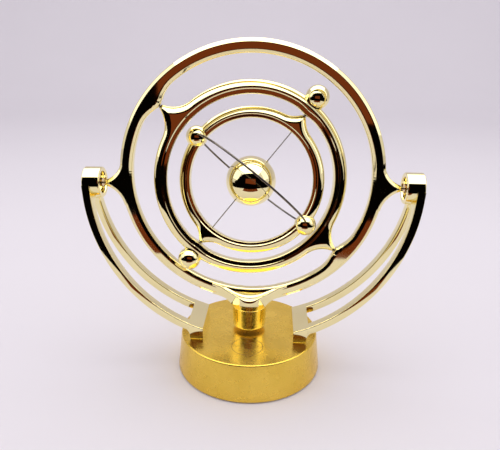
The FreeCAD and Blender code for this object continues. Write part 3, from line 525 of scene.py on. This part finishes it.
BY_SLOT = {
    "gold_chrome": GOLD_CHROME, "satin_gold": SATIN_GOLD, "black_plastic": BLACK_PLASTIC,
    "bobbin_plastic": BOBBIN_PLASTIC, "rubber": RUBBER, "steel": STEEL, "spring_steel": SPRING_STEEL,
    "dark_steel": DARK_STEEL, "brass": BRASS, "copper": COPPER, "core_iron": CORE_IRON,
    "magnet_nickel": MAGNET_NICKEL, "board_green": BOARD_GREEN, "component_black": COMPONENT_BLACK,
    "resistor_body": RESISTOR_BODY, "wire_insulation": WIRE_INSULATION, "cell_can": CELL_CAN,
}
for part in frame["record"]["subparts"]:
    shown = nodes[part["node"]]
    shown.data.materials.clear()
    shown.data.materials.append(BY_SLOT[part["material_slot"]])


# ---- the three rings ----
def horns_of(shape, ears, bosses):
    found = [Horn(shape["r_out"], flare, tip, EAR_TIP_R, True, way, rise) for way, tip, flare, rise in ears]
    return found + [Horn(shape["r_in"], flare, tip, BOSS_TIP_R, False, way) for way, tip, flare in bosses]


def make_ring(name, shape, ears, bosses, body, pose):
    """A cast ring whose shading follows its section exactly. ears and bosses give way, tip and flare."""
    build = Build()
    rows, facing = ring_rows(shape, horns_of(shape, ears, bosses))
    build.grid(rows, True, True)
    ring = build.finish(name, GOLD_CHROME, body, [name.replace("_casting", "")], "gold_chrome", pose)
    flat = facing.reshape(-1, 3)
    turned = pose(flat) - pose(np.zeros((1, 3)))
    ring.data.normals_split_custom_set_from_vertices(turned.tolist())


outer_ears = [(way, OUTER_EAR_TIP, 16.0, -RING_RISE) for way in two_ways((1, 0, 0))]
outer_bosses = [(way, OUTER_BOSS_TIP, 21.0) for way in two_ways(OUTER_AXIS)]
middle_ears = [(way, MIDDLE_EAR_TIP, 16.0, 0.0) for way in two_ways(OUTER_AXIS)]
middle_bosses = [(way, MIDDLE_BOSS_TIP, 18.0) for way in two_ways(MIDDLE_AXIS)]
inner_ears = [(way, INNER_EAR_TIP, 14.0, 0.0) for way in two_ways(MIDDLE_AXIS)]
make_ring("outer_ring_casting", OUTER, outer_ears, outer_bosses, "outer", pose_outer)
make_ring("middle_ring_casting", MIDDLE, middle_ears, middle_bosses, "middle", pose_middle)
make_ring("inner_ring_casting", INNER, inner_ears, [], "inner", pose_inner)


# ---- magnet foot under the outer ring ----
def foot_plan(x):
    """Half depth of the foot at x: a round boss that flows into the ring's flat faces."""
    strip = OUTER["half"] - 0.15
    centre_y = strip + FOOT_FLARE
    centre_x = math.sqrt((FOOT_R + FOOT_FLARE) ** 2 - centre_y ** 2)
    touch_x = centre_x * FOOT_R / (FOOT_R + FOOT_FLARE)
    x = abs(x)
    if x < touch_x:
        return math.sqrt(FOOT_R ** 2 - x ** 2)
    if x < centre_x:
        return centre_y - math.sqrt(FOOT_FLARE ** 2 - (x - centre_x) ** 2)
    return strip


def foot_top(x, depth, plan):
    """How far down the foot's top lies: dished beside the ring, with a soft lip along its border."""
    flat_half, dish_half_x, hollow_half_x = 1.8, 18.5, 15.0
    past = np.clip((depth - flat_half) / (plan - flat_half), 0, 1)
    drop = FOOT_DISH * max(1 - (x / dish_half_x) ** 2, 0)
    hollow = 1.5 * max(1 - (x / hollow_half_x) ** 2, 0) * np.sin(math.pi * past)
    lip = 0.6 + 2.2 * math.exp(-(x / 5.5) ** 4)
    rim = np.clip((plan - depth) / lip, 0, 1)
    top = math.sqrt(OUTER["r_in"] ** 2 - x ** 2) + 0.5 + drop * past + hollow
    return top + lip * (1 - np.sqrt(np.clip(1 - (1 - rim) ** 2, 0, 1)))


def foot_underside(x, reach, top):
    """How far down the foot's underside lies: flat over the cup, then curved up to the ring's border."""
    cup_z = CUP_TOP + RING_RISE
    flank = math.sqrt(OUTER["r_out"] ** 2 - x ** 2) - 0.35
    away = np.clip((reach - CUP_R_TOP) / 8.0, 0, 1)
    low = np.where(reach < CUP_R_TOP, cup_z - 0.02, flank + (cup_z - flank) * (1 - away) ** 3)
    return np.maximum(low, top + 0.3)


def foot_rows():
    """Closed sections of the foot in planes of constant x."""
    rows = []
    for x in np.linspace(-FOOT_HALF_X, FOOT_HALF_X, 161):
        plan = foot_plan(x)
        y = plan * -np.cos(np.linspace(0, math.pi, 61))
        top = foot_top(x, np.abs(y), plan)
        low = foot_underside(x, np.hypot(x, y), top)
        upper = np.stack([np.full_like(y, x), y, -top], 1)
        lower = np.stack([np.full_like(y, x), y, -low], 1)[::-1]
        share = np.linspace(0, 1, 12)[1:-1]
        wall_back = [upper[-1] * (1 - s) + lower[0] * s for s in share]
        wall_front = [lower[-1] * (1 - s) + upper[0] * s for s in share]
        rows.append(np.concatenate([upper, wall_back, lower, wall_front]))
    return rows


foot = Build()
foot.grid(foot_rows(), False, True)
foot.finish("magnet_foot", GOLD_CHROME, "outer", [], "gold_chrome", pose_outer, sharp=38)

cup = Build()
height = CUP_BOTTOM - CUP_TOP
cup_round = 0.8
profile = [(0, 1e-4)] + arc((cup_round, CUP_R_BOTTOM - cup_round), cup_round, 180, 96, 10)
profile += [(2.0, CUP_R_BOTTOM + 0.02), (height - 0.05, CUP_R_TOP), (height, CUP_R_TOP - 0.05)]
profile.append((height, 1e-4))
cup.revolve(profile, (0, 0, -CUP_BOTTOM - RING_RISE), (0, 0, 1), 192)
cup.finish("magnet_cup_shell", GOLD_CHROME, "outer", ["magnet_cup"], "gold_chrome", pose_outer, sharp=30)


# ---- balls ----
def add_ball(build, centre, radius, axis, steps=128):
    turn = np.radians(np.linspace(180, 0, 65))
    build.revolve([(radius * math.cos(t), radius * math.sin(t)) for t in turn], centre, axis, steps)


def add_collar(build, axis, start, end, radius, edge):
    build.revolve(rounded_bar(end - start, radius, edge), axis * start, axis, 48)


sun = Build()
add_ball(sun, (0, 0, 0), SUN_R, MIDDLE_AXIS, 192)
for way in two_ways(MIDDLE_AXIS):
    add_collar(sun, way, SUN_R - 0.6, SUN_R + 0.35, 0.9, 0.2)
sun.finish("sun_ball_polished", GOLD_CHROME, "inner", ["sun_ball"], "gold_chrome", pose_inner)

ball_turn = rotation((0, 1, 0), -BALL_TURN)
for label, way in (("upper", MIDDLE_AXIS), ("lower", -MIDDLE_AXIS)):
    planet = Build()
    spot = ball_turn @ way
    add_ball(planet, spot * PLANET_CENTRE, PLANET_R, spot)
    planet.finish(f"planet_ball_{label}_polished", GOLD_CHROME, "middle", [f"planet_ball_{label}"],
                  "gold_chrome", pose_middle)

for label, way in (("upper", -OUTER_AXIS), ("lower", OUTER_AXIS)):
    orbit = Build()
    centre = ball_turn @ way * ORBIT_BALL_CENTRE + MIDDLE_AXIS * ORBIT_BALL_OFFSET
    add_ball(orbit, centre, ORBIT_BALL_R, way)
    orbit.finish(f"orbit_ball_{label}_polished", GOLD_CHROME, "inner", [f"orbit_ball_{label}"],
                 "gold_chrome", pose_inner)

# ---- hoop, rod and pins ----
hoop = Build()
hoop_normal = ball_turn @ rotation(OUTER_AXIS, HOOP_TILT) @ MIDDLE_AXIS
hoop_side = unit(np.cross(hoop_normal, (0, 1, 0)))
hoop_other = np.cross(hoop_normal, hoop_side)
rows = []
for t in np.linspace(0, 2 * math.pi, 360, endpoint=False):
    out = hoop_side * math.cos(t) + hoop_other * math.sin(t)
    rows.append([MIDDLE_AXIS * HOOP_OFFSET + out * (HOOP_R + HOOP_WIRE_R * math.cos(a))
                 + hoop_normal * HOOP_WIRE_R * math.sin(a)
                 for a in np.linspace(0, 2 * math.pi, 20, endpoint=False)])
hoop.grid(rows, True, True)
hoop.finish("orbit_hoop_wire", DARK_STEEL, "inner", ["orbit_hoop"], "dark_steel", pose_inner)

rod = Build()
rod_end = INNER["r_in"] + 2.8
rod.revolve(rounded_bar(2 * rod_end, ROD_R, 0.1), MIDDLE_AXIS * -rod_end, MIDDLE_AXIS, 24)
rod.finish("sun_rod_wire", STEEL, "inner", ["sun_rod"], "steel", pose_inner)


def pins(name, axis, start, end, ear_tip, body, pose, rise=0.0):
    """Two pivot pins from start to end along the axis, each with a small washer at the ear's tip."""
    build = Build()
    offset = np.array([0, 0, rise])
    for way in two_ways(axis):
        build.revolve(rounded_bar(end - start, PIN_R, 0.15), way * start + offset, way, 40)
        build.revolve(rounded_bar(0.22, WASHER_R, 0.08, 4), way * (ear_tip + 0.02) + offset, way, 40)
    build.finish(f"{name}_turned", STEEL, body, [name], "steel", pose)


pins("outer_pivot_pins", (1, 0, 0), 82.4, 93.6, OUTER_EAR_TIP, "outer", pose_outer, -RING_RISE)
pins("middle_pivot_pins", OUTER_AXIS, 62.4, 70.3, MIDDLE_EAR_TIP, "middle", pose_middle)
pins("inner_pivot_pins", MIDDLE_AXIS, 43.4, 51.4, INNER_EAR_TIP, "inner", pose_inner)


# ---- arms ----
def arc_width(stations):
    """Half width at height z, on the circle through three stations."""
    (z0, w0), (z1, w1), (z2, w2) = stations
    a = np.array([[2 * (z1 - z0), 2 * (w1 - w0)], [2 * (z2 - z0), 2 * (w2 - w0)]])
    b = np.array([z1 ** 2 + w1 ** 2 - z0 ** 2 - w0 ** 2, z2 ** 2 + w2 ** 2 - z0 ** 2 - w0 ** 2])
    cz, cw = np.linalg.solve(a, b)
    radius = math.hypot(z0 - cz, w0 - cw)
    sign = 1.0 if w1 > cw else -1.0

    def width(z):
        z = min(z, z2)
        return cw + sign * math.sqrt(max(radius ** 2 - (z - cz) ** 2, 0))
    return width


arm_width = arc_width(ARM_WIDTHS)
slot_width = arc_width(SLOT_WIDTHS)


def circle_point(radius, degrees):
    t = math.radians(degrees)
    return np.array([radius * math.sin(t), ARM_CENTRE_Z - radius * math.cos(t)])


def slot_end_angle():
    """Where the slot's round upper end closes."""
    return SLOT_TO + math.degrees(SLOT_WIDTHS[2][1] / (ARM_R + ARM_T / 2))


def arm_stations():
    """(inner point, outer point, angle) in the XZ plane, from the barrel down to the end of the foot."""
    foot_angle = math.degrees(math.asin((ARM_FOOT_X + 4.5) / (ARM_R + ARM_T)))
    end_angle = math.degrees(math.asin(ARM_END_X / ARM_R))
    slot_end = slot_end_angle()
    solid = [a for a in np.linspace(BARREL_ANGLE, SLOT_TO, 14, endpoint=False) if a > slot_end + 0.1]
    quarter = np.linspace(math.pi / 2, 0, 12)
    round_end = [slot_end - (slot_end - SLOT_TO) * (1 - math.cos(t)) for t in quarter]
    band = solid + sorted(round_end, reverse=True) + list(np.linspace(SLOT_TO, foot_angle, 90))[1:]
    stations = [(circle_point(ARM_R, a), circle_point(ARM_R + ARM_T, a), a) for a in band]
    # The foot block's outer side curves from the band's outer face down to the base.
    low = circle_point(ARM_R + ARM_T, foot_angle)
    knee = np.array([ARM_FOOT_X + 1.3, BASE_TOP_Z + 0.72 * (low[1] - BASE_TOP_Z)])
    heel = np.array([ARM_FOOT_X, BASE_TOP_Z])
    bend = 2 * knee - (low + heel) / 2
    for s in np.linspace(0, 1, 17)[1:]:
        outer = low * (1 - s) ** 2 + bend * 2 * s * (1 - s) + heel * s ** 2
        angle = foot_angle + (SLOT_FROM - foot_angle) * s
        stations.append((circle_point(ARM_R, angle), outer, angle))
    # Its underside lies on the base.
    toe = np.array([ARM_END_X, BASE_TOP_Z])
    for s in np.linspace(0, 1, 13)[1:]:
        angle = SLOT_FROM + (end_angle - SLOT_FROM) * s
        stations.append((circle_point(ARM_R, angle), heel + (toe - heel) * s, angle))
    return stations


def slot_half(z, angle):
    """Half width of the slot: square at the foot, round at the top."""
    if angle < SLOT_TO:
        return slot_width(z)
    along = math.radians(angle - SLOT_TO) * (ARM_R + ARM_T / 2)
    end_r = SLOT_WIDTHS[2][1]
    return math.sqrt(max(end_r ** 2 - along ** 2, 0.0)) * slot_width(z) / end_r


def section(inner, outer, low_y, high_y):
    """A rounded section between inner and outer, from low_y to high_y."""
    span = float(np.linalg.norm(outer - inner))
    down = (outer - inner) / span
    near, far = ARM_EDGE, span - ARM_EDGE
    left, right = low_y + ARM_EDGE, high_y - ARM_EDGE
    corners = []
    for y, s, end in ((right, near, 90), (left, near, 180), (left, far, 270), (right, far, 360)):
        for t in np.radians(np.linspace(end - 90, end, 5)):
            x, z = inner + down * (s - ARM_EDGE * math.sin(t))
            corners.append((x, y + ARM_EDGE * math.cos(t), z))
    return np.array(corners)


def add_bar(build, rows):
    """A bar through closed sections, with a flat face at each end."""
    build.grid(rows, False, True)
    m = len(rows[0])
    first = build.count - len(rows) * m
    build.faces.append(tuple(first + j for j in range(m)))
    build.faces.append(tuple(build.count - m + j for j in range(m)))


def arm_mesh():
    """Two rails beside the slot, and a full-width bar above and below it."""
    build = Build()
    slot_end = slot_end_angle()
    sides = {1: [], -1: []}
    above, below = [], []
    for inner, outer, angle in arm_stations():
        z = (inner[1] + outer[1]) / 2
        width = arm_width(z)
        if SLOT_FROM - 0.01 <= angle <= slot_end:
            rail = section(inner, outer, slot_half(z, angle), width)
            for sign in sides:
                sides[sign].append(rail * (1, sign, 1))
        if angle >= slot_end - 0.01:
            above.append(section(inner, outer, -width, width))
        if angle <= SLOT_FROM + 0.01:
            below.append(section(inner, outer, -width, width))
    for rows in (sides[1], sides[-1], above, below):
        add_bar(build, rows)
    return build


def add_barrel(build):
    """The round barrel, with a rounded rim on both faces and a shallow recess round the bush."""
    length = ARM_R + ARM_T - BARREL_IN_X
    shoulder = BARREL_R - BARREL_ROUND
    profile = [(BUSH_DEPTH, 1e-4), (BUSH_DEPTH, BUSH_R), (RECESS_DEPTH, BUSH_R), (RECESS_DEPTH, RECESS_R)]
    profile += arc((0.35, RECESS_R + 0.4), 0.35, 250, 180, 4) + [(0, 8.4)]
    profile += arc((BARREL_ROUND, shoulder), BARREL_ROUND, 180, 90, 8)
    profile += arc((length - BARREL_ROUND, shoulder), BARREL_ROUND, 90, 0, 8) + [(length, 1e-4)]
    build.revolve(profile, (BARREL_IN_X, 0, PIVOT_Z), (1, 0, 0), 128)


for side, sign in (("right", 1), ("left", -1)):
    arm = arm_mesh()
    add_barrel(arm)
    arm.points = [points * (sign, 1, 1) for points in arm.points]
    arm.finish(f"{side}_arm_casting", GOLD_CHROME, "base", [f"{side}_arm"], "gold_chrome", sharp=35)

# ---- base drum ----
drum = Build()
height = BASE_TOP_Z - BASE_BOTTOM_Z
inside = height - BASE_WALL
foot_edge = BASE_R_BOTTOM - 0.45
profile = [(inside, 1e-4), (inside, BASE_R_TOP - BASE_WALL)]
profile += [(0.0, BASE_R_BOTTOM - BASE_WALL), (0.0, foot_edge)]
profile += arc((0.4, foot_edge), 0.4, 180, 100, 5)
for s in np.arange(1, 12) / 12:
    profile.append((height * s, BASE_R_BOTTOM + (BASE_R_TOP - BASE_R_BOTTOM) * s - 0.04))
profile += arc((height - BASE_RIM, BASE_R_TOP - BASE_RIM), BASE_RIM, 90, 0, 14)
profile += [(height, radius) for radius in np.linspace(BASE_R_TOP - BASE_RIM - 0.5, 0.5, 30)]
profile.append((height, 1e-4))
drum.revolve(profile, (0, 0, BASE_BOTTOM_Z), (0, 0, 1), 256)
drum.finish("base_drum", SATIN_GOLD, "base", ["base_shell"], "satin_gold", sharp=40)


# ---- badge: a rosette of petals in a circle ----
INLAY_HIGH = 0.05
PETALS = 8
BADGE_CENTRE = np.array([0, BADGE_Y, BASE_TOP_Z - 0.01])


def inlay_section(middle, out, half, top_half):
    """A low ridge across a line of the badge."""
    rise = np.array([0, 0, INLAY_HIGH])
    inner, outer = middle - out * top_half, middle + out * top_half
    return [middle - out * half, inner + rise, outer + rise, middle + out * half]


def badge_circle(build, radius, half):
    rows = []
    for t in np.linspace(0, 2 * math.pi, 160, endpoint=False):
        out = np.array([math.cos(t), math.sin(t), 0])
        rows.append(inlay_section(BADGE_CENTRE + out * radius, out, half, half * 0.7))
    build.grid(rows, True, True)


def badge_petal(build, turn):
    """Both sides of one petal, each a ridge from the middle outwards."""
    along = np.array([math.sin(turn), math.cos(turn), 0])
    across = np.array([math.cos(turn), -math.sin(turn), 0])
    for sign in (-1, 1):
        rows = []
        for share in (1 - np.cos(math.pi * np.linspace(0, 1, 24))) / 2:
            spine = BADGE_CENTRE + along * (2.2 + 4.9 * share)
            out = across * sign
            rows.append(inlay_section(spine + out * 1.15 * math.sin(math.pi * share), out, 0.14, 0.09))
        build.grid(rows, False, True)


badge = Build()
badge_circle(badge, BADGE_R - 0.2, 0.2)
for i in range(PETALS):
    badge_petal(badge, 2 * math.pi * i / PETALS)
badge.finish("base_badge", BADGE_INK, "base", [], "satin_gold")


# ---- stage, light and camera ----
def paper(name, colour):
    material, tree, shader = principled(name, Roughness=0.8)
    low = tuple(c * 0.985 for c in colour)
    tone = ramp(tree, noise(tree, 3.0, 2.0), 0.3, low, 0.7, colour)
    tree.links.new(tone, shader.inputs["Base Color"])
    return material


def card(name, corners, colour, strength):
    """A flat card that only reflections see."""
    mesh = bpy.data.meshes.new(name)
    mesh.from_pydata(corners, [], [tuple(range(len(corners)))])
    piece = bpy.data.objects.new(name, mesh)
    bpy.context.scene.collection.objects.link(piece)
    material = bpy.data.materials.new(name)
    material.use_nodes = True
    tree = material.node_tree
    tree.nodes.clear()
    glow = tree.nodes.new("ShaderNodeEmission")
    glow.inputs["Color"].default_value = (*colour, 1)
    glow.inputs["Strength"].default_value = strength
    end = tree.nodes.new("ShaderNodeOutputMaterial")
    tree.links.new(glow.outputs["Emission"], end.inputs["Surface"])
    mesh.materials.append(material)
    piece.visible_camera = False
    piece.visible_diffuse = False
    piece.visible_shadow = False
    piece.visible_transmission = False


# A pale sheet that runs flat under the toy and curves up behind it, in millimetres.
half_width, curve_y, curve_r, high = 20000.0, 1500.0, 900.0, 3500.0
outline = [(-half_width, 0.0), (0.0, 0.0)]
for t in np.radians(range(0, 91, 5)):
    outline.append((curve_y + curve_r * math.sin(t), curve_r * (1 - math.cos(t))))
outline.append((curve_y + curve_r, high))
backdrop = Build()
backdrop.grid([[(x, y, z) for x in (-half_width, 0.0, half_width)] for y, z in outline], False, False)
sheet = bpy.data.meshes.new("floor")
sheet.from_pydata((backdrop.points[0] * MM).tolist(), [], backdrop.faces)
sheet.shade_smooth()
sheet.materials.append(paper("floor_paper", (0.78, 0.755, 0.79)))
floor = bpy.data.objects.new("floor", sheet)
bpy.context.scene.collection.objects.link(floor)

# Reflection cards, in metres: what the polished gold mirrors from the floor (x, y) and from in
# front (x, z).
RED_BROWN = (0.16, 0.035, 0.012)
BLACK = (0.0012, 0.0008, 0.0008)
dark_ground = ((-1.5, -0.8), (1.5, -0.8), (1.5, 0.12), (0.50, 0.12), (0.36, -0.04), (0.26, -0.22),
               (0.17, -0.28), (-0.17, -0.28), (-0.26, -0.22), (-0.36, -0.08), (-0.48, 0.04), (-1.5, 0.04))
warm_ground = ((-0.16, -0.28), (0.16, -0.28), (0.13, -0.17), (-0.13, -0.17))
dark_front = ((-1.1, 0), (1.1, 0), (0.9, 0.12), (0.55, 0.22), (0.33, 0.50), (-0.33, 0.50), (-0.70, 0.26),
              (-1.5, 0.16), (-1.5, 0))
warm_front = ((-0.12, 0.14), (0.13, 0.11), (0.13, 0.25), (-0.12, 0.25))
ceiling = ((-1.0, -1.0), (1.0, -1.0), (1.0, 1.0), (-1.0, 1.0))
card("dark_ground", [(x, y, 0.001) for x, y in dark_ground], BLACK, 1.0)
card("warm_ground", [(x, y, 0.001) for x, y in warm_ground], RED_BROWN, 1.0)
card("dark_front", [(x, -0.36, z) for x, z in dark_front], BLACK, 1.0)
card("warm_front", [(x, -0.30, z) for x, z in warm_front], RED_BROWN, 1.0)
card("white_ceiling", [(x, y, 1.2) for x, y in ceiling], (1.0, 0.99, 0.98), 2.5)

world = bpy.data.worlds.new("studio")
bpy.context.scene.world = world
world.use_nodes = True
background = world.node_tree.nodes["Background"]
background.inputs["Color"].default_value = (0.86, 0.82, 0.87, 1)
background.inputs["Strength"].default_value = 0.90


def area(name, place, aim, size, power, colour):
    light = bpy.data.lights.new(name, "AREA")
    light.shape = "RECTANGLE"
    light.size, light.size_y = size
    light.energy = power
    light.color = colour
    lamp = bpy.data.objects.new(name, light)
    bpy.context.scene.collection.objects.link(lamp)
    lamp.location = place
    lamp.rotation_euler = (Vector(aim) - Vector(place)).to_track_quat("-Z", "Y").to_euler()


area("top_light", (0.0, 0.1, 1.1), (0, 0, 0.1), (1.0, 0.8), 2.5, (1.0, 0.985, 0.97))
area("wall_light", (0.0, 0.9, 2.6), (0, 2.4, 0.9), (3.0, 0.6), 8.0, (1.0, 0.99, 1.0))
area("left_light", (-0.9, -0.25, 0.7), (0, 0, 0.1), (0.6, 0.9), 1.2, (1.0, 0.99, 0.98))
area("right_light", (0.9, -0.15, 0.7), (0, 0, 0.1), (0.6, 0.9), 1.2, (1.0, 0.99, 0.98))

# The camera stands close in front, looks down a little, and is turned and rolled by a few degrees.
CAMERA = np.array([12.203, -288.609, 193.286]) * MM
PITCH = math.radians(21.42)
HEADING = math.radians(3.595)
ROLL = math.radians(0.346)
flat = np.array([-math.sin(HEADING), math.cos(HEADING), 0])
forward = flat * math.cos(PITCH) - np.array([0, 0, 1]) * math.sin(PITCH)
right = np.array([math.cos(HEADING), math.sin(HEADING), 0])
up = np.cross(right, forward)
rolled_right = right * math.cos(ROLL) + up * math.sin(ROLL)
rolled_up = -right * math.sin(ROLL) + up * math.cos(ROLL)
lens = bpy.data.cameras.new("camera")
lens.lens = 35.36
lens.sensor_width = 36.0
lens.shift_x = 0.01874
lens.shift_y = 0.0531
lens.clip_start = 0.01
camera = bpy.data.objects.new("camera", lens)
bpy.context.scene.collection.objects.link(camera)
camera.matrix_world = Matrix((
    (rolled_right[0], rolled_up[0], -forward[0], CAMERA[0]),
    (rolled_right[1], rolled_up[1], -forward[1], CAMERA[1]),
    (rolled_right[2], rolled_up[2], -forward[2], CAMERA[2]),
    (0, 0, 0, 1),
))
bpy.context.scene.camera = camera
bpy.context.scene.view_settings.view_transform = "Standard"
